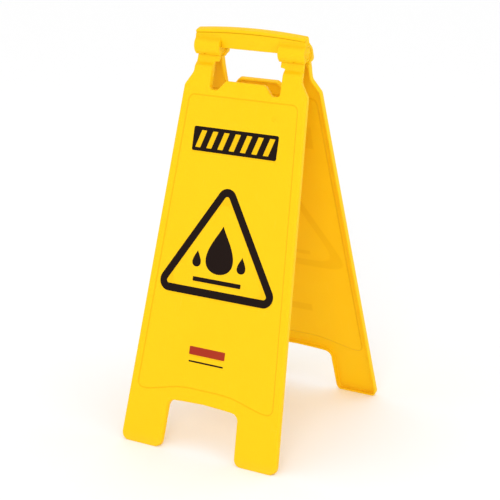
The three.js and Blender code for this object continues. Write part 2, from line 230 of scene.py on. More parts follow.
# ---- Meshes ----
class Shell:
    """Points and faces of one piece, gathered ring by ring, so that every seam shares its points."""

    def __init__(self):
        self.points = []
        self.painted_shades = []
        self.faces = []
        self.count = 0

    def ring(self, xyz, painted_shade=0.0):
        """Adds points and returns their numbers. The last argument, from 0 to 1, is how much painted
        shade a point gets, which darkens its colour where a fold of the moulding lies in shadow."""
        self.points.append(np.asarray(xyz, float))
        self.painted_shades.append(np.broadcast_to(painted_shade, len(xyz)))
        numbers = np.arange(self.count, self.count + len(xyz))
        self.count += len(xyz)
        return numbers

    def band(self, rings):
        """Closes the strips between rings that have the same number of points."""
        for a, b in zip(rings, rings[1:]):
            quads = np.stack([a, np.roll(a, -1), np.roll(b, -1), b], 1)
            self.faces.extend(quads.tolist())

    def cap(self, rings, flat, inner=None):
        """Fills the area inside an odd number of the rings with triangles. flat gives each ring's
        points in the plane of the cap. inner = (numbers, flat points) adds points."""
        edges = []
        start = 0
        for ring in rings:
            own = np.arange(start, start + len(ring))
            edges.extend(np.stack([own, np.roll(own, -1)], 1).tolist())
            start += len(ring)
        numbers = np.concatenate(rings + ([inner[0]] if inner else []))
        plane = np.concatenate(list(flat) + ([inner[1]] if inner else []))
        made = delaunay_2d_cdt([Vector(p) for p in plane], edges, [], 0, 1e-7)
        original = [ids[0] for ids in made[3]]
        triangles = [[original[i] for i in face] for face in made[2]]
        self.faces.extend(numbers[face].tolist() for face in between(triangles, edges))


def between(triangles, walls):
    """The triangles inside an odd number of walls. The search starts at the outside, goes from
    triangle to triangle over their shared edges, and counts one more wrapping at each wall."""
    walls = {frozenset(edge) for edge in walls}
    beside = {}
    for k, (a, b, c) in enumerate(triangles):
        for edge in ((a, b), (b, c), (c, a)):
            beside.setdefault(frozenset(edge), []).append(k)
    wrapped = {}
    waiting = [(owners[0], edge in walls) for edge, owners in beside.items() if len(owners) == 1]
    while waiting:
        k, inside = waiting.pop()
        if k in wrapped:
            continue
        wrapped[k] = inside
        a, b, c = triangles[k]
        for edge in map(frozenset, ((a, b), (b, c), (c, a))):
            waiting += [(other, inside != (edge in walls)) for other in beside[edge] if other != k]
    return [triangles[k] for k, inside in wrapped.items() if inside]


def enclosed(points, outline):
    """True where a level line from the point to the right crosses the outline an odd number of
    times."""
    a, b = outline, np.roll(outline, -1, axis=0)
    px, pv = points[:, :1], points[:, 1:]
    spans = (a[:, 1] > pv) != (b[:, 1] > pv)
    rise = np.where(b[:, 1] == a[:, 1], 1, b[:, 1] - a[:, 1])
    at = a[:, 0] + (pv - a[:, 1]) * (b[:, 0] - a[:, 0]) / rise
    return (spans & (px < at)).sum(1) % 2 == 1


def upright_to_place(points, side):
    """Leans an upright drawing by LEAN about the hinge line. The rear half is also turned round, so
    its x and its level distance from the hinge line change sign."""
    x, y, v = points.T
    level = y * math.cos(LEAN) + v * math.sin(LEAN)
    height = HINGE_HEIGHT - y * math.sin(LEAN) + v * math.cos(LEAN)
    sign = 1 if side == "front" else -1
    return np.stack([sign * x, sign * level, height], 1) / 1000


def make_piece(name, shell, side, material):
    """Makes a shell into an object whose closed parts all face outwards."""
    mesh = bpy.data.meshes.new(name)
    points = upright_to_place(np.concatenate(shell.points), side)
    mesh.from_pydata(points.tolist(), [], shell.faces)
    work = bmesh.new()
    work.from_mesh(mesh)
    bmesh.ops.recalc_face_normals(work, faces=work.faces)
    work.to_mesh(mesh)
    work.free()
    # Per-point painted shade of the folds, which the yellow material reads
    painted_shade = mesh.attributes.new("painted_shade", "FLOAT", "POINT")
    painted_shade.data.foreach_set("value", np.concatenate(shell.painted_shades).astype(np.float32))
    mesh.shade_smooth()
    mesh.set_sharp_from_angle(angle=SHARP_ANGLE)
    mesh.materials.append(material)
    piece = bpy.data.objects.new(name, mesh)
    bpy.context.scene.collection.objects.link(piece)
    return piece


# ---- Panels ----
AXIS_TO_FLOOR = HINGE_HEIGHT / math.cos(LEAN)
OUTLINE_BOTTOM_V = -(AXIS_TO_FLOOR - FACE * math.tan(LEAN))


def side_x(v):
    """Half the width of a panel at v: its sides spread evenly from the shoulders to the feet."""
    slope = (FOOT_WIDTH - SHOULDER_WIDTH) / 2 / (AXIS_TO_FLOOR + SHOULDER_V)
    return SHOULDER_WIDTH / 2 + (SHOULDER_V - v) * slope


def panel_outline(arm_corners, arm_gap):
    """The outline shared by both panels. arm_corners end the arms, which stand arm_gap apart."""
    corners = [
        (0, NOTCH_TOP_V, 500),
        (NOTCH_WIDTH / 2, NOTCH_TOP_V - NOTCH_RISE, 12),
        (NOTCH_WIDTH / 2 + NOTCH_FLARE, OUTLINE_BOTTOM_V, 13),
        (side_x(OUTLINE_BOTTOM_V), OUTLINE_BOTTOM_V, 13),
        (SHOULDER_WIDTH / 2, SHOULDER_V, 9),
        (NECK_WIDTH / 2, NECK_V, 14),
        *arm_corners,
        (arm_gap / 2, POCKET_V, 4.5),
        (POCKET_WIDTH / 2, POCKET_V, 4),
        (HUMP_WIDTH / 2, HUMP_TOP_V, 8),
    ]
    return stepped(rounded(mirrored(corners)))


def field_outline():
    """The sunk field: parallel to the panel's sides, with a low arch below."""
    bottom_x = side_x(FIELD_BOTTOM_V) - FIELD_MARGIN
    corners = [
        (0, FIELD_BOTTOM_V + FIELD_ARCH, 600),
        (bottom_x * 0.38, FIELD_BOTTOM_V + FIELD_ARCH * 0.88, 130),
        (bottom_x * 0.84, FIELD_BOTTOM_V, 50),
        (bottom_x, FIELD_BOTTOM_V, 10),
        (side_x(FIELD_TOP_V) - FIELD_MARGIN, FIELD_TOP_V, 10),
    ]
    return stepped(rounded(mirrored(corners)))


def floor_v(y, level):
    """v of a level plane at this height above the floor, where it cuts depth y."""
    return (y * math.sin(LEAN) - HINGE_HEIGHT + level) / math.cos(LEAN)


def arm_share(v, side):
    """How much of its depth a panel keeps at v. The front panel thins to its leaf, in a soft ramp."""
    thin = (LIP - LEAF_DEPTH) / (LIP - FACE)
    return 1 - (1 - thin) * ease((v - RAMP_BOTTOM_V) / RAMP_HEIGHT) if side == "front" else np.ones_like(v)


def ramp_painted_shade(v, side):
    """Painted shade at the foot of the front arms' ramp, where that fold lies in shadow: 0.4 at its
    middle height, and fading like a bell curve above and below it."""
    if side == "rear":
        return np.zeros_like(v)
    return 0.4 * np.exp(-(((v - RAMP_SHADE_V) / RAMP_SHADE_REACH) ** 2))


def panel_points(outline, y, side, level):
    """An outline at depth y, thinned at the arms and cut off level at the feet."""
    v = outline[:, 1]
    depth = LIP - (LIP - y) * arm_share(v, side)
    return np.stack([outline[:, 0], depth, np.maximum(v, floor_v(depth, level))], 1)


def quarter(count):
    """Angles from 0 to a right angle."""
    return np.linspace(0, math.pi / 2, count)


def carry_round(shell, outline, profile, side, level, edge):
    """Carries a profile of (inset, depth) pairs round an outline. edge scales the inset from point
    to point, so that a rounding can shrink where the moulding is thin."""
    rings = []
    flats = []
    for distance, y, *shade_level in profile:
        flat = inset(outline, distance * edge)
        flats.append(flat)
        # Painted shade: the level a profile entry gives, or the ramp's painted shade where that is darker
        painted_shade = np.maximum(shade_level[0] if shade_level else 0.0, ramp_painted_shade(flat[:, 1], side))
        rings.append(shell.ring(panel_points(flat, y, side, level), painted_shade))
    shell.band(rings)
    return rings, flats


def field_step(shell, face_y, side, level):
    """The soft step round the field: across FIELD_SLOPE to each side of its outline the surface
    sinks by FIELD_DEPTH along an ease curve. Returns its outer and inner ring."""
    outline = field_outline()
    across = np.linspace(-1, 1, 7)
    depth = face_y + FIELD_DEPTH * ease((across + 1) / 2)
    # Painted shade along the step, darkest in its middle, where the step lies in shadow
    shade_level = np.array([0.0, 0.7, 1.0, 1.0, 1.0, 0.7, 0.0])
    return carry_round(shell, outline, list(zip(across * FIELD_SLOPE, depth, shade_level)), side, level, 1.0)


def gate_mark(shell, field_y, side):
    """The round witness of the moulding gate: a dimple that sinks along an ease curve from its rim to
    its floor."""
    radii = np.linspace(GATE_RADIUS, GATE_FLOOR_RADIUS, 5)
    sunk = field_y + GATE_DEPTH * ease((GATE_RADIUS - radii) / (GATE_RADIUS - GATE_FLOOR_RADIUS))
    # Painted shade inside the dimple
    shade_levels = (0.0, 0.3, 0.4, 0.3, 0.2)
    flats = [circle(r, GATE) for r in radii]
    rings = [shell.ring(panel_points(f, y, side, 0), c) for f, y, c in zip(flats, sunk, shade_levels)]
    shell.band(rings)
    shell.cap([rings[-1]], [flats[-1]])
    return rings[0], flats[0]


def ramp_points(shell, outline, y, side):
    """Points on the face where the arms ramp back to the leaves, so that the fill follows it."""
    x, v = np.meshgrid(np.arange(56, 92, 4.0), np.arange(-35.0, -24.4, 0.8))
    flat = np.stack([x.ravel(), v.ravel()], 1)
    flat = np.concatenate([flat, flat * (-1, 1)])
    flat = flat[enclosed(flat, inset(outline, 1.2))]
    return shell.ring(panel_points(flat, y, side, 0), ramp_painted_shade(flat[:, 1], side)), flat


def arm_ends(side, gap):
    """The corners that end a panel's arms, and those that end the hollow behind them. The front arms
    end in leaves, and the rear arms are cut off level under the sleeves."""
    if side == "front":
        arm = [
            (LEAF_OUTER_X, LEAF_TOP_V, LEAF_CORNER),
            (LEAF_INNER_X, LEAF_TOP_V, LEAF_CORNER),
            (LEAF_INNER_X, LEAF_BOTTOM_V, LEAF_CORNER),
            (gap / 2, LEAF_BOTTOM_V - LEAF_CORNER, 2),
        ]
        hollow_x = NECK_WIDTH / 2 - 0.7
        hollow_v = FRONT_HOLLOW_TOP_V
    else:
        arm = [(NECK_WIDTH / 2, REAR_ARM_TOP_V, LEAF_CORNER), (gap / 2, REAR_ARM_TOP_V, LEAF_CORNER)]
        hollow_x = NECK_WIDTH / 2
        hollow_v = REAR_HOLLOW_TOP_V
    return arm, [(hollow_x, hollow_v, HOLLOW_CORNER), (gap / 2, hollow_v, HOLLOW_CORNER)]


def tray(shell, side):
    """One panel: a face with a sunk field, rounded into a rim all round, and hollow behind. The rim's
    rounding shrinks to about a third where the arms are thin."""
    gap = ARM_GAP if side == "front" else REAR_ARM_GAP
    arm, hollow_arm = arm_ends(side, gap)
    outline = panel_outline(arm, gap)
    edge = 1 - 0.68 * ease((outline[:, 1] + 36) / 10)
    turn = quarter(7)
    outside = [(FACE_ROUND + SUPPORT, FACE)]
    outside += list(zip(FACE_ROUND * (1 - np.sin(turn)), FACE + FACE_ROUND * (1 - np.cos(turn))))
    outside += list(zip(LIP_ROUND * (1 - np.cos(turn)), LIP - LIP_ROUND * (1 - np.sin(turn))))
    outside += [(LIP_ROUND + SUPPORT, LIP)]
    skin, skin_flat = carry_round(shell, outline, outside, side, 0, edge)

    hollow = panel_outline(hollow_arm, gap)
    start = WALL - LIP_ROUND
    face_back = FACE + WALL
    inside = [(start - SUPPORT, LIP)]
    inside += list(zip(start + LIP_ROUND * np.sin(turn), LIP - LIP_ROUND * (1 - np.cos(turn))))
    bend = FLOOR_ROUND * (1 - np.cos(turn))
    inside += list(zip(WALL + bend, face_back + FLOOR_ROUND * (1 - np.sin(turn))))
    inside += [(WALL + FLOOR_ROUND + SUPPORT, face_back)]
    well, well_flat = carry_round(shell, hollow, inside, side, WALL, 1.0)
    shell.cap([skin[-1], well[0]], [skin_flat[-1], well_flat[0]])

    step, step_flat = field_step(shell, FACE, side, 0)
    gate, gate_flat = gate_mark(shell, FACE + FIELD_DEPTH, side)
    ramp = ramp_points(shell, outline, FACE, side) if side == "front" else None
    shell.cap([skin[0], step[0]], [skin_flat[0], step_flat[0]], ramp)
    shell.cap([step[-1], gate], [step_flat[-1], gate_flat])

    back, back_flat = field_step(shell, face_back, side, WALL)
    shell.cap([well[-1], back[0]], [well_flat[-1], back_flat[0]])
    shell.cap([back[-1]], [back_flat[-1]])


# ---- Round parts of the hinge ----
def turned(shell, profile, centre_x, count=64):
    """Turns (x, radius) pairs about the hinge line. The first and last ring are capped flat, and the
    wall of the dish gets painted shade, as a hollow in shadow."""
    angle = np.arange(count) * 2 * math.pi / count
    rings = []
    for x, r in profile:
        circle_points = np.stack([np.full(count, x + centre_x), r * np.cos(angle), r * np.sin(angle)], 1)
        # The dish's wall gets painted shade
        rings.append(shell.ring(circle_points, 0.9 * (DISH_RADIUS - 1 <= r <= DISH_RADIUS)))
    shell.band(rings)
    for ring, (_, radius) in ((rings[0], profile[0]), (rings[-1], profile[-1])):
        shell.cap([ring], [circle(radius, count=count)])


def drum_profile():
    """Half a drum from its middle outwards: the drum, its shoulder, the journal and its dish."""
    half = (SLEEVE_OUTER_X - SLEEVE_INNER_X) / 2
    shoulder = half - END_WALL - SHOULDER_GAP
    end = half - JOURNAL_GAP
    edge = DRUM_EDGE
    return [
        (shoulder - edge, DRUM_RADIUS),
        (shoulder - 0.3 * edge, DRUM_RADIUS - 0.3 * edge),
        (shoulder, DRUM_RADIUS - edge),
        (shoulder, JOURNAL_RADIUS),
        (end - edge, JOURNAL_RADIUS),
        (end - 0.3 * edge, JOURNAL_RADIUS - 0.3 * edge),
        (end, JOURNAL_RADIUS - edge),
        (end, DISH_RADIUS + 0.3),
        (end - 0.3, DISH_RADIUS),
        (end - 1.0, DISH_RADIUS - 0.3),
        (end - DISH_DEPTH, DISH_RADIUS - 0.8),
        (end - DISH_DEPTH, 2.2),
        (end - 0.7, 1.7),
    ]


def drums(shell):
    """A drum in each sleeve, the same at both ends."""
    half = drum_profile()
    profile = [(-x, r) for x, r in half[::-1]] + half
    middle = (SLEEVE_OUTER_X + SLEEVE_INNER_X) / 2
    for centre in (-middle, middle):
        turned(shell, profile, centre)


# ---- Grip, sleeves and cover: sections in y and v, carried along x ----
def end_rounding(x, low, high, radius):
    """How far a section shrinks near its ends: radius - sqrt(radius^2 - depth into the end^2)."""
    into = np.maximum(np.maximum(low + radius - x, x - high + radius), 0)
    return radius - np.sqrt(np.maximum(radius**2 - into**2, 0))


def end_stations(low, high, radius, inner):
    """Places along x: close together on both rounded ends, and at the inner places given."""
    curve = radius * (1 - np.sin(quarter(6)))
    return np.concatenate([low + curve[::-1], inner, high - curve])


def carry_along(shell, sections, xs, painted_shades):
    """Joins sections of the same number of points that stand at the places xs, and closes both ends."""
    # Each ring keeps its level of painted shade
    rings = [
        shell.ring(np.column_stack([np.full(len(section), x), section]), shade_level)
        for x, section, shade_level in zip(xs, sections, painted_shades)
    ]
    shell.band(rings)
    shell.cap([rings[0]], [sections[0]])
    shell.cap([rings[-1]], [sections[-1]])


def arched(section, x):
    """Stretches a section so that its level bottom stays and its top follows the grip's arch."""
    share = (section[:, 1] - GRIP_BOTTOM_V) / (GRIP_TOP_V - GRIP_BOTTOM_V)
    drop = GRIP_ARCH * (x / GRIP_END_X) ** 2
    return np.column_stack([section[:, 0], section[:, 1] - share * drop])


def groove_painted_shade(section):
    """Painted shade along the line between the cover and the grip's top, fading over 1.3."""
    away = np.abs(section[:, 1] - (GRIP_TOP_V - COVER_DROP)) / 1.3
    return np.exp(-(away**2)) * (section[:, 0] > COVER_SPLIT)


def barrel_painted_shade(section, rise):
    """Painted shade in the folds of the cover: the hollow between plate and barrel, the line above
    the lower lip, the lip itself and, where the lip rises, the whole of its notch."""
    above_lip = (np.arctan2(section[:, 0], -section[:, 1]) - LIP_ANGLE) * SLEEVE_RADIUS
    hollow = np.exp(-(((section[:, 1] - 15.5) / 2.6) ** 2)) * (section[:, 0] > COVER_SPLIT)
    line = np.exp(-((above_lip - GROOVE_RISE) ** 2))
    lip = np.exp(-(((above_lip - rise) / 1.1) ** 2))
    return np.maximum.reduce([0.7 * hollow, 0.6 * line, 1.0 * lip])


def end_painted_shade(section):
    """Painted shade at a sleeve's end: round the edge of its window, and along the line
    where cover and back meet.
    """
    window = 0.9 * (np.hypot(section[:, 0], section[:, 1]) < WINDOW_RADIUS + 0.5)
    seam = np.exp(-(((section[:, 0] - COVER_SPLIT) / 0.6) ** 2))
    return np.maximum(window, seam)


def grip_part(shell, corners, end_x, radius):
    """A part of the grip from end to end, under the arch. Towards its ends the section shrinks about
    its own middle, which rounds them."""
    section = stepped(rounded(corners), 3)
    middle = (section.max(0) + section.min(0)) / 2
    half = (section.max(0) - section.min(0)) / 2
    xs = end_stations(-end_x, end_x, radius, np.linspace(radius - end_x, end_x - radius, 49)[1:-1])
    shrink = end_rounding(xs, -end_x, end_x, radius)
    sections = [arched(middle + (section - middle) * (1 - s / half), x) for s, x in zip(shrink, xs)]
    # Painted shade along the line between the cover and the grip's top
    carry_along(shell, sections, xs, [groove_painted_shade(section)] * len(xs))


def rear_grip(shell):
    """The back of the grip and the lip along its top, in front of which the cover begins."""
    top_cut = GRIP_TOP_V - COVER_DROP
    corners = [
        (GRIP_BACK, GRIP_BOTTOM_V, 3),
        (BACK_SPLIT, GRIP_BOTTOM_V, 0.7),
        (BACK_SPLIT, top_cut, 0.5),
        (GRIP_FRONT, top_cut, 0.9),
        (GRIP_FRONT, GRIP_TOP_V, 2.8),
        (GRIP_BACK, GRIP_TOP_V, 4.5),
    ]
    grip_part(shell, corners, GRIP_END_X, 1.6)


def cover_plate(shell):
    """The flat front of the grip, a little below its top lip."""
    top = GRIP_TOP_V - COVER_DROP - 0.4
    corners = [
        (COVER_SPLIT, GRIP_BOTTOM_V, 0.5),
        (GRIP_FRONT, GRIP_BOTTOM_V, 2.6),
        (GRIP_FRONT, top, 1.3),
        (COVER_SPLIT, top, 0.4),
    ]
    grip_part(shell, corners, GRIP_END_X, 1.2)


def arc(radius, start, stop, count):
    """Points of an arc about the hinge line. Angles are from straight down towards the front."""
    angle = np.linspace(start, stop, count)
    return np.stack([radius * np.sin(angle), -radius * np.cos(angle)], 1)


def cover_section(bore, lip_angle):
    """The cover round a drum: down from the plate by a hollow curve that touches the plate and the
    barrel, round the barrel with its fine groove to the lower lip, and back up the bore."""
    blend = PLATE_BLEND
    centre = np.array([
        GRIP_FRONT + blend,
        math.sqrt((SLEEVE_RADIUS + blend) ** 2 - (GRIP_FRONT + blend) ** 2),
    ])
    toward = math.atan2(centre[0], -centre[1])
    hollow_turn = np.linspace(math.pi, math.atan2(-centre[1], -centre[0]) + 2 * math.pi, 9)
    hollow = centre + blend * np.stack([np.cos(hollow_turn), np.sin(hollow_turn)], 1)
    groove_angle = lip_angle + GROOVE_RISE / SLEEVE_RADIUS
    barrel = arc(SLEEVE_RADIUS, toward, lip_angle + LIP_EDGE / SLEEVE_RADIUS, 46)
    angle = np.arctan2(barrel[:, 0], -barrel[:, 1])
    dip = GROOVE_DEPTH * np.exp(-(((angle - groove_angle) * SLEEVE_RADIUS / GROOVE_REACH) ** 2))
    barrel *= (1 - dip / SLEEVE_RADIUS)[:, None]
    mouth_angle = lip_angle + LIP_EDGE_TURN
    mouth = arc(SLEEVE_RADIUS - LIP_EDGE * 0.3, mouth_angle, mouth_angle, 1)
    edge = arc(SLEEVE_RADIUS - LIP_EDGE, lip_angle, lip_angle, 1)
    split = math.pi - math.asin(COVER_SPLIT / bore)
    inner = arc(bore, lip_angle, split, 34)
    top = np.array([[COVER_SPLIT, centre[1]]])
    return np.concatenate([hollow[1:], barrel[1:], mouth, edge, inner, top, hollow[:1]])


def rear_section(bore):
    """The back of a sleeve: squared off below the hinge line, round above it, and run into the
    grip's back by a small hollow curve."""
    blend = BACK_BLEND
    centre = np.array([
        GRIP_BACK - blend,
        math.sqrt((SLEEVE_RADIUS + blend) ** 2 - (GRIP_BACK - blend) ** 2),
    ])
    toward = math.atan2(centre[0], -centre[1])
    turn = np.linspace(0, math.atan2(-centre[1], -centre[0]), 7)
    hollow = centre + blend * np.stack([np.cos(turn), np.sin(turn)], 1)
    barrel = arc(SLEEVE_RADIUS, toward, -math.pi / 2, 16)
    heel_turn = np.linspace(math.pi, 1.5 * math.pi, 8)
    heel_centre = np.array([HEEL_RADIUS - SLEEVE_RADIUS, HEEL_RADIUS + HEEL_V])
    heel = heel_centre + HEEL_RADIUS * np.stack([np.cos(heel_turn), np.sin(heel_turn)], 1)
    under = arc(SLEEVE_RADIUS, -math.acos(-HEEL_V / SLEEVE_RADIUS), -0.03, 6)
    slot = np.array([[SLOT_BACK, -SLEEVE_RADIUS + 0.5]])
    split = math.pi + math.asin(BACK_SPLIT / bore)
    inner = arc(bore, SLOT_BACK / bore, -(2 * math.pi - split), 40)
    top = np.array([[BACK_SPLIT, centre[1]], [GRIP_BACK, centre[1]]])
    return np.concatenate([hollow[1:], barrel[1:], heel, under, slot, inner, top])


def along_sleeve(side_sign):
    """Places along a sleeve, with the bore's radius, the lip's rise and how far the outside is drawn
    in at each. The bore narrows to the window at both end walls, and the lip rises at the pry
    notch."""
    low, high = SLEEVE_INNER_X, SLEEVE_OUTER_X
    step = 0.01
    wall_low = low + END_WALL
    wall_high = high - END_WALL
    notch = NOTCH_HALF - np.array([0, 0.4, NOTCH_SIDE])
    inner = np.array([
        wall_low, wall_low + step, wall_low + BORE_LEAD,
        *(PRY_NOTCH_X - notch), *(PRY_NOTCH_X + notch[::-1]),
        wall_high - BORE_LEAD, wall_high - step, wall_high,
    ])
    xs = end_stations(low, high, SLEEVE_END_ROUND, inner)
    in_wall = (xs < wall_low + step / 2) | (xs > wall_high - step / 2)
    bore = np.where(in_wall, WINDOW_RADIUS, BORE_RADIUS)
    rise = NOTCH_LIFT * ease((NOTCH_HALF - np.abs(xs - PRY_NOTCH_X)) / NOTCH_SIDE)
    shrink = end_rounding(xs, low, high, SLEEVE_END_ROUND)
    if side_sign < 0:
        return -xs[::-1], bore[::-1], rise[::-1], shrink[::-1]
    return xs, bore, rise, shrink


def shrunk(section, distance, bore):
    """A section whose outer skin moves inwards by distance, while its bore keeps its place."""
    radius = np.hypot(section[:, 0], section[:, 1])
    outer = ease((radius - bore) / 1.5)
    scale = 1 - distance * outer / np.maximum(radius, 1)
    return section * scale[:, None]


def sleeves(shell, section_at, painted_shade_of):
    """Both sleeves of one part."""
    for sign in (-1, 1):
        xs, bore, rise, shrink = along_sleeve(sign)
        sections = [
            shrunk(section_at(b, LIP_ANGLE + r / SLEEVE_RADIUS), s, b)
            for b, r, s in zip(bore, rise, shrink)
        ]
        # Painted shade in the folds along each sleeve, and round both its ends
        shade_levels = [painted_shade_of(p, r) for p, r in zip(sections, rise)]
        shade_levels[0] = shade_levels[-1] = end_painted_shade(sections[0])
        carry_along(shell, sections, xs, shade_levels)


# ---- Print ----
INK_SUNK = 0.03              # how far a film's underside lies inside the plastic
INK_PROUD = 0.12             # how far its top stands out
INK_BEVEL = 0.04             # how far its top edge is drawn in
HEADING = (-145.5, 150.0, 38.0)  # v, width and height of a level mark
FLOOR_LINE = (-362.0, 86.0, 7.0)
BADGE = (-473.0, 64.0, 13.0)
BADGE_LINE = (-490.0, 62.0, 2.6)
TRIANGLE = [(115.0, -388.0), (0.0, -201.0), (-115.0, -388.0)]
TRIANGLE_CORNER = 17.0
TRIANGLE_STROKE = 12.5


def film(shell, outline, holes=()):
    """A film of ink on the sunk field: its underside is just inside the plastic, and its top edge
    is drawn in by a hair."""
    low = FACE + FIELD_DEPTH + INK_SUNK
    high = FACE + FIELD_DEPTH - INK_PROUD
    shift = (PRINT_X, 0)
    rims = [(outline + shift, inset(outline, INK_BEVEL) + shift)]
    rims += [(hole + shift, inset(hole, -INK_BEVEL) + shift) for hole in holes]
    under, over, under_flat, over_flat = [], [], [], []
    for wide, narrow in rims:
        rings = [
            shell.ring(np.column_stack([wide[:, 0], np.full(len(wide), y), wide[:, 1]]))
            for y in (low, high + INK_PROUD / 2)
        ]
        top = shell.ring(np.column_stack([narrow[:, 0], np.full(len(narrow), high), narrow[:, 1]]))
        shell.band([*rings, top])
        under.append(rings[0])
        over.append(top)
        under_flat.append(wide)
        over_flat.append(narrow)
    shell.cap(under, under_flat)
    shell.cap(over, over_flat)


def bar(v, width, height, corner):
    """A level bar with rounded corners."""
    x, up = width / 2, height / 2
    corners = [(x, v - up, corner), (x, v + up, corner), (-x, v + up, corner), (-x, v - up, corner)]
    return rounded(corners)


def heading_band(shell):
    """A band of slanted bars between two rails."""
    v, width, height = HEADING
    rail, gaps, solid, slant = 5.5, 7, 11.0, 9.0
    low, high = v - height / 2 + rail, v + height / 2 - rail
    gap = (width - 2 * rail - slant - (gaps - 1) * solid) / gaps
    holes = [
        rounded([
            (x, low, 0.8), (x + gap, low, 0.8), (x + gap + slant, high, 0.8), (x + slant, high, 0.8),
        ])
        for x in rail - width / 2 + np.arange(gaps) * (gap + solid)
    ]
    film(shell, bar(v, width, height, 3), holes)


def warning_triangle(shell):
    """A plain triangular ring with rounded corners."""
    outline = rounded([(x, v, TRIANGLE_CORNER) for x, v in TRIANGLE], math.radians(5))
    film(shell, outline, [inset(outline, TRIANGLE_STROKE)])


def drop(v, radius, height, x=0.0):
    """A drop of water: v goes as the cosine of the turn, and the width as its sine times the sine
    of half the turn to the power 1.5, which draws the top out to a point."""
    turn = np.linspace(0.2, 2 * math.pi - 0.2, 72)
    width = np.sin(turn) * np.sin(turn / 2) ** 1.5 / 0.69
    return np.stack([x - radius * width, v + height / 2 * np.cos(turn)], 1)


PRINTS = {
    "heading_band": (heading_band, "dark_print"),
    "warning_triangle": (warning_triangle, "dark_print"),
    "drop": (lambda shell: film(shell, drop(-312, 24, 76)), "dark_print"),
    "splash_left": (lambda shell: film(shell, drop(-330, 7.5, 26, -40)), "dark_print"),
    "splash_right": (lambda shell: film(shell, drop(-330, 7.5, 26, 40)), "dark_print"),
    "floor_line": (lambda shell: film(shell, bar(*FLOOR_LINE, 1.2)), "dark_print"),
    "badge": (lambda shell: film(shell, bar(*BADGE, 1.6)), "red_print"),
    "badge_line": (lambda shell: film(shell, bar(*BADGE_LINE, 0.8)), "dark_print"),
}


# ---- Finishes ----
def new_group(name, inputs, outputs):
    """An empty node group with named sockets, and its two end nodes."""
    tree = bpy.data.node_groups.new(name, "ShaderNodeTree")
    for socket, value in inputs.items():
        made = tree.interface.new_socket(socket, in_out="INPUT", socket_type="NodeSocketFloat")
        made.default_value = value
    for socket, kind in outputs.items():
        tree.interface.new_socket(socket, in_out="OUTPUT", socket_type=kind)
    return tree, tree.nodes.new("NodeGroupInput"), tree.nodes.new("NodeGroupOutput")


def add_node(tree, kind, settings=None, **inputs):
    """A node with its settings and unlinked values. An input that is a socket gets linked."""
    node = tree.nodes.new(kind)
    for key, value in (settings or {}).items():
        setattr(node, key, value)
    for key, value in inputs.items():
        socket = node.inputs[int(key[1:])] if key[1:].isdigit() else node.inputs[key.replace("_", " ")]
        if isinstance(value, bpy.types.NodeSocket):
            tree.links.new(value, socket)
        else:
            socket.default_value = value
    return node


def calculate(tree, operation, *values):
    """One step of arithmetic on sockets and numbers; returns its result."""
    inputs = {f"_{place}": value for place, value in enumerate(values)}
    return add_node(tree, "ShaderNodeMath", {"operation": operation}, **inputs).outputs[0]


def noise(tree, where, **inputs):
    """A noise from about 0 to 1."""
    return add_node(tree, "ShaderNodeTexNoise", None, Vector=where, **inputs).outputs["Fac"]


def make_moulded_skin():
    """Skin of a moulding, in metres: a fine spark-eroded stipple, slow flow waves and small
    clouds where the gloss changes."""
    tree, given, out = new_group(
        "moulded_skin",
        {"Stipple Size": 0.0009, "Wave Size": 0.06},
        {"Stipple": "NodeSocketFloat", "Waves": "NodeSocketFloat", "Clouds": "NodeSocketFloat"},
    )
    where = add_node(tree, "ShaderNodeTexCoord").outputs["Object"]
    fine = calculate(tree, "DIVIDE", 1.0, given.outputs["Stipple Size"])
    slow = calculate(tree, "DIVIDE", 1.0, given.outputs["Wave Size"])
    masks = {
        "Stipple": noise(tree, where, Scale=fine, Detail=2.0, Roughness=0.6),
        "Waves": noise(tree, where, Scale=slow, Detail=1.0, Roughness=0.4),
        "Clouds": noise(tree, where, Scale=14.0, Detail=4.0, Roughness=0.55, Distortion=0.6),
    }
    for socket, mask in masks.items():
        tree.links.new(mask, out.inputs[socket])
    return tree


def make_scuffs():
    """Handling marks: thin crossing scratches from stretched noise cut to its crests, and a dusting
    of grey that fades out above the feet."""
    tree, given, out = new_group(
        "scuffs",
        {"Amount": 1.0, "Dust Height": 0.03},
        {"Scratches": "NodeSocketFloat", "Dust": "NodeSocketFloat"},
    )
    where = add_node(tree, "ShaderNodeTexCoord").outputs["Object"]
    crests = []
    for turn, stretch in ((0.35, (900, 40, 30)), (-0.6, (700, 30, 45))):
        placed = add_node(tree, "ShaderNodeMapping", None, Vector=where, Rotation=(0, turn, 0),
                          Scale=stretch)
        wave = noise(tree, placed.outputs[0], Scale=1.0, Detail=1.0)
        cut = add_node(tree, "ShaderNodeMapRange", None, Value=wave, From_Min=0.70, From_Max=0.80)
        crests.append(cut.outputs[0])
    both = calculate(tree, "MAXIMUM", *crests)
    patches = noise(tree, where, Scale=9.0, Detail=2.0)
    patch = add_node(tree, "ShaderNodeMapRange", None, Value=patches, From_Min=0.5, From_Max=0.7)
    some = calculate(tree, "MULTIPLY", both, patch.outputs[0])
    scratches = calculate(tree, "MULTIPLY", some, given.outputs["Amount"])
    tree.links.new(scratches, out.inputs["Scratches"])
    height = add_node(tree, "ShaderNodeSeparateXYZ", None, Vector=where).outputs["Z"]
    low = calculate(tree, "DIVIDE", height, given.outputs["Dust Height"])
    fade = add_node(tree, "ShaderNodeMapRange", {"interpolation_type": "SMOOTHSTEP"}, Value=low,
                    From_Min=1.0, From_Max=0.0)
    speckle = noise(tree, where, Scale=120.0, Detail=5.0)
    tree.links.new(calculate(tree, "MULTIPLY", fade.outputs[0], speckle), out.inputs["Dust"])
    return tree


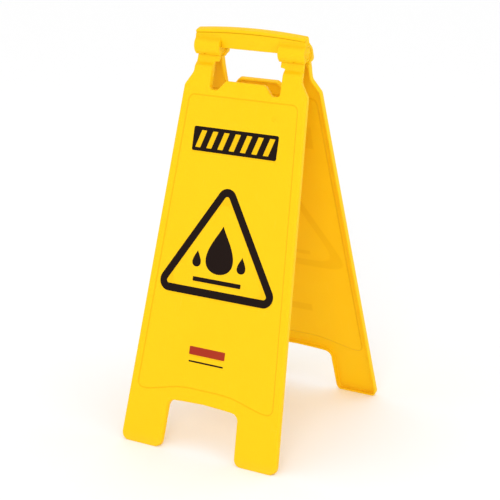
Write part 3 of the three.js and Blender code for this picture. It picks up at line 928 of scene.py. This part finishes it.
def line_distance(tree, x, v, start, end):
    """How far a point lies to the right of a line from start to end: the cross product of the
    line's direction and the way to the point."""
    along = np.subtract(end, start) / math.dist(start, end)
    offset = start[1] * along[0] - start[0] * along[1]
    first = calculate(tree, "MULTIPLY_ADD", x, along[1], offset)
    return calculate(tree, "MULTIPLY_ADD", v, -along[0], first)


def largest(tree, values, blend=0.0):
    """The largest of some values, blended softly where two of them are nearly the same."""
    result = values[0]
    for value in values[1:]:
        result = calculate(tree, "SMOOTH_MAX", result, value, blend)
    return result


def make_print_shadow():
    """The print as it glimmers through the plastic, from the inside. Each straight-sided shape is
    the largest of its distances outside its own edges, faded over 3 mm; the ring is the band just
    inside the triangle's edges."""
    tree, given, out = new_group("print_shadow", {"Side": 1.0}, {"Shadow": "NodeSocketFloat"})
    where = add_node(tree, "ShaderNodeTexCoord").outputs["Object"]
    parts = add_node(tree, "ShaderNodeSeparateXYZ", None, Vector=where)
    turned_x = calculate(tree, "MULTIPLY", parts.outputs["X"], given.outputs["Side"])
    x = calculate(tree, "MULTIPLY_ADD", turned_x, 1000.0, -PRINT_X)
    v = calculate(tree, "MULTIPLY_ADD", parts.outputs["Z"], 1000.0 / math.cos(LEAN), -AXIS_TO_FLOOR)

    def outside(corners, blend):
        pairs = zip(corners, corners[1:] + corners[:1])
        return largest(tree, [line_distance(tree, x, v, a, b) for a, b in pairs], blend)

    def shade(distance, width):
        return add_node(tree, "ShaderNodeMapRange", {"interpolation_type": "SMOOTHSTEP"},
                        Value=distance, From_Min=width + 1.5, From_Max=width - 1.5).outputs[0]

    half_stroke = 6.2
    middle = calculate(tree, "ADD", outside(TRIANGLE, 50.0), half_stroke)
    shapes = [shade(calculate(tree, "ABSOLUTE", middle), half_stroke)]
    for v_middle, width, height in (HEADING, FLOOR_LINE, BADGE):
        right, low, high = width / 2, v_middle - height / 2, v_middle + height / 2
        box = [(-right, low), (right, low), (right, high), (-right, high)]
        shapes.append(shade(outside(box, 0.0), 0.0))
    tree.links.new(largest(tree, shapes), out.inputs["Shadow"])
    return tree


MOULDED_SKIN = make_moulded_skin()
SCUFFS = make_scuffs()
PRINT_SHADOW = make_print_shadow()


def place_group(tree, group, **values):
    """A node group in a material, with its own values."""
    node = tree.nodes.new("ShaderNodeGroup")
    node.node_tree = group
    for key, value in values.items():
        node.inputs[key.replace("_", " ")].default_value = value
    return node


def mix_colour(tree, share, first, second):
    """A colour between two, each of which is a socket or a plain colour."""
    node = add_node(tree, "ShaderNodeMix", {"data_type": "RGBA"})
    for index, value in ((0, share), (6, first), (7, second)):
        if isinstance(value, bpy.types.NodeSocket):
            tree.links.new(value, node.inputs[index])
        else:
            node.inputs[index].default_value = value
    return node.outputs[2]


def scaled(tree, value, low, high):
    """Carries a value from 0..1 to low..high."""
    return add_node(tree, "ShaderNodeMapRange", None, Value=value, To_Min=low, To_Max=high).outputs[0]


YELLOW = (0.93, 0.555, 0.004, 1)
YELLOW_CLOUD = (0.955, 0.585, 0.006, 1)
YELLOW_SCRATCH = (1.0, 0.68, 0.08, 1)
# Painted shade for the folds of the moulding
YELLOW_PAINTED_SHADE = (0.80, 0.455, 0.0, 1)
YELLOW_SHADOW = (0.84, 0.46, 0.0, 1)
FLOOR_DUST = (0.5, 0.36, 0.12, 1)


def yellow_plastic(name, print_side=0):
    """Satin, slightly translucent yellow: colour drifts a little in clouds, scratches lighten it, the
    feet are faintly dusty and painted shade darkens the folds. print_side is 1 where the front
    panel's print glimmers through, and -1 for the rear panel's."""
    material = bpy.data.materials.new(name)
    material.use_nodes = True
    tree = material.node_tree
    shader = tree.nodes["Principled BSDF"]
    skin = place_group(tree, MOULDED_SKIN, Stipple_Size=0.0008, Wave_Size=0.07)
    marks = place_group(tree, SCUFFS, Amount=0.35, Dust_Height=0.02)
    colour = mix_colour(tree, skin.outputs["Clouds"], YELLOW, YELLOW_CLOUD)
    colour = mix_colour(tree, marks.outputs["Scratches"], colour, YELLOW_SCRATCH)
    colour = mix_colour(tree, scaled(tree, marks.outputs["Dust"], 0.0, 0.12), colour, FLOOR_DUST)
    # Painted shade: the colour darkens by the per-point shade level of the folds
    shade_level = add_node(tree, "ShaderNodeAttribute", {"attribute_name": "painted_shade"}).outputs["Fac"]
    colour = mix_colour(tree, scaled(tree, shade_level, 0.0, 0.85), colour, YELLOW_PAINTED_SHADE)
    if print_side:
        shadow = place_group(tree, PRINT_SHADOW, Side=print_side)
        colour = mix_colour(tree, scaled(tree, shadow.outputs[0], 0.0, 0.5), colour, YELLOW_SHADOW)
    tree.links.new(colour, shader.inputs["Base Color"])
    rough = scaled(tree, skin.outputs["Clouds"], 0.40, 0.52)
    tree.links.new(rough, shader.inputs["Roughness"])
    fine = add_node(tree, "ShaderNodeBump", None, Height=skin.outputs["Stipple"], Strength=0.12,
                    Distance=0.0002)
    slow = add_node(tree, "ShaderNodeBump", None, Height=skin.outputs["Waves"], Strength=0.25,
                    Distance=0.002, Normal=fine.outputs[0])
    tree.links.new(slow.outputs[0], shader.inputs["Normal"])
    shader.inputs["Specular IOR Level"].default_value = 0.10
    shader.inputs["Subsurface Weight"].default_value = 0.15
    shader.inputs["Subsurface Radius"].default_value = (1.0, 0.45, 0.04)
    shader.inputs["Subsurface Scale"].default_value = 0.004
    return material


def ink(name, colour, worn):
    """Screen-printed ink: nearly flat, a little uneven, with tiny pinholes where it has worn."""
    material = bpy.data.materials.new(name)
    material.use_nodes = True
    tree = material.node_tree
    shader = tree.nodes["Principled BSDF"]
    skin = place_group(tree, MOULDED_SKIN, Stipple_Size=0.0011, Wave_Size=0.03)
    marks = place_group(tree, SCUFFS, Amount=0.25, Dust_Height=0.001)
    colour = mix_colour(tree, scaled(tree, skin.outputs["Clouds"], 0.0, 0.35), colour, worn)
    colour = mix_colour(tree, scaled(tree, marks.outputs["Scratches"], 0.0, 0.5), colour, worn)
    tree.links.new(colour, shader.inputs["Base Color"])
    rough = scaled(tree, skin.outputs["Stipple"], 0.42, 0.6)
    tree.links.new(rough, shader.inputs["Roughness"])
    fine = add_node(tree, "ShaderNodeBump", None, Height=skin.outputs["Stipple"], Strength=0.1,
                    Distance=0.0001)
    tree.links.new(fine.outputs[0], shader.inputs["Normal"])
    shader.inputs["Specular IOR Level"].default_value = 0.08
    return material


FINISHES = {
    "yellow_plastic": yellow_plastic("yellow_plastic"),
    "yellow_front": yellow_plastic("yellow_plastic_front", 1),
    "yellow_rear": yellow_plastic("yellow_plastic_rear", -1),
    "dark_print": ink("dark_print", (0.009, 0.0035, 0.002, 1), (0.02, 0.009, 0.006, 1)),
    "red_print": ink("red_print", (0.36, 0.028, 0.012, 1), (0.45, 0.06, 0.02, 1)),
}


# ---- Pieces ----
def dress(name, shell, side, slot, node, finish=None):
    """Makes a piece that stands for a CAD node and rides on its half. Its finish is the one given,
    or else the one named by slot, and the CAD node is hidden.
    """
    piece = make_piece(name, shell, side, FINISHES[finish or slot])
    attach(piece, f"{side}_half")
    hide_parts(node)


def make_front_panel():
    """The front tray with the two drums that its leaves carry."""
    shell = Shell()
    tray(shell, "front")
    drums(shell)
    dress("front_moulding", shell, "front", "yellow_plastic", "front_panel", "yellow_front")


def make_rear_panel():
    """The rear tray with the back of the grip and the backs of both sleeves."""
    shell = Shell()
    tray(shell, "rear")
    rear_grip(shell)
    sleeves(shell, lambda bore, lip: rear_section(bore), lambda section, rise: 0.0)
    dress("rear_moulding", shell, "rear", "yellow_plastic", "rear_panel", "yellow_rear")


def make_cover():
    """The front of the grip and of both sleeves, in one clip-on moulding."""
    shell = Shell()
    cover_plate(shell)
    sleeves(shell, cover_section, barrel_painted_shade)
    dress("handle_cover_moulding", shell, "rear", "yellow_plastic", "handle_cover")


def make_prints():
    """The same marks on both panels."""
    for side in ("front", "rear"):
        for mark, (draw, slot) in PRINTS.items():
            shell = Shell()
            draw(shell)
            dress(f"{side}_ink_{mark}", shell, side, slot, f"{side}_print_{mark}")


# ---- Studio ----
SIGN_MIDDLE = (0, 0, 0.33)


def plain_material(name, colour, roughness):
    """A plain finish for the studio floor."""
    material = bpy.data.materials.new(name)
    material.use_nodes = True
    shader = material.node_tree.nodes["Principled BSDF"]
    shader.inputs["Base Color"].default_value = colour
    shader.inputs["Roughness"].default_value = roughness
    shader.inputs["Specular IOR Level"].default_value = 0.1
    return material


def make_floor():
    """A pale floor far wider than the view."""
    mesh = bpy.data.meshes.new("floor")
    reach = 30.0
    corners = [(-reach, -reach, 0), (reach, -reach, 0), (reach, reach, 0), (-reach, reach, 0)]
    mesh.from_pydata(corners, [], [(0, 1, 2, 3)])
    mesh.materials.append(plain_material("studio_floor", (0.97, 0.97, 0.97, 1), 0.9))
    floor = bpy.data.objects.new("floor", mesh)
    bpy.context.scene.collection.objects.link(floor)


def make_light(name, place, size, power):
    """A soft square light that faces the middle of the sign."""
    data = bpy.data.lights.new(name, "AREA")
    data.size = size
    data.energy = power
    light = bpy.data.objects.new(name, data)
    way = Vector(SIGN_MIDDLE) - Vector(place)
    light.matrix_world = Matrix.Translation(place) @ way.to_track_quat("-Z", "Y").to_matrix().to_4x4()
    bpy.context.scene.collection.objects.link(light)


def make_studio():
    """White all round, with a soft key beside the camera, which shines past the front panel onto half
    of the inside, and a weak fill from the right."""
    world = bpy.data.worlds.new("studio")
    bpy.context.scene.world = world
    world.use_nodes = True
    backdrop = world.node_tree.nodes["Background"]
    backdrop.inputs["Color"].default_value = (1, 1, 1, 1)
    backdrop.inputs["Strength"].default_value = 1.02
    make_floor()
    make_light("key", (0.95, -2.6, 1.7), 0.9, 15)
    make_light("right", (2.6, -1.0, 0.9), 1.0, 4)
    bpy.context.scene.view_settings.view_transform = "Standard"


make_front_panel()
make_rear_panel()
make_cover()
make_prints()
make_studio()
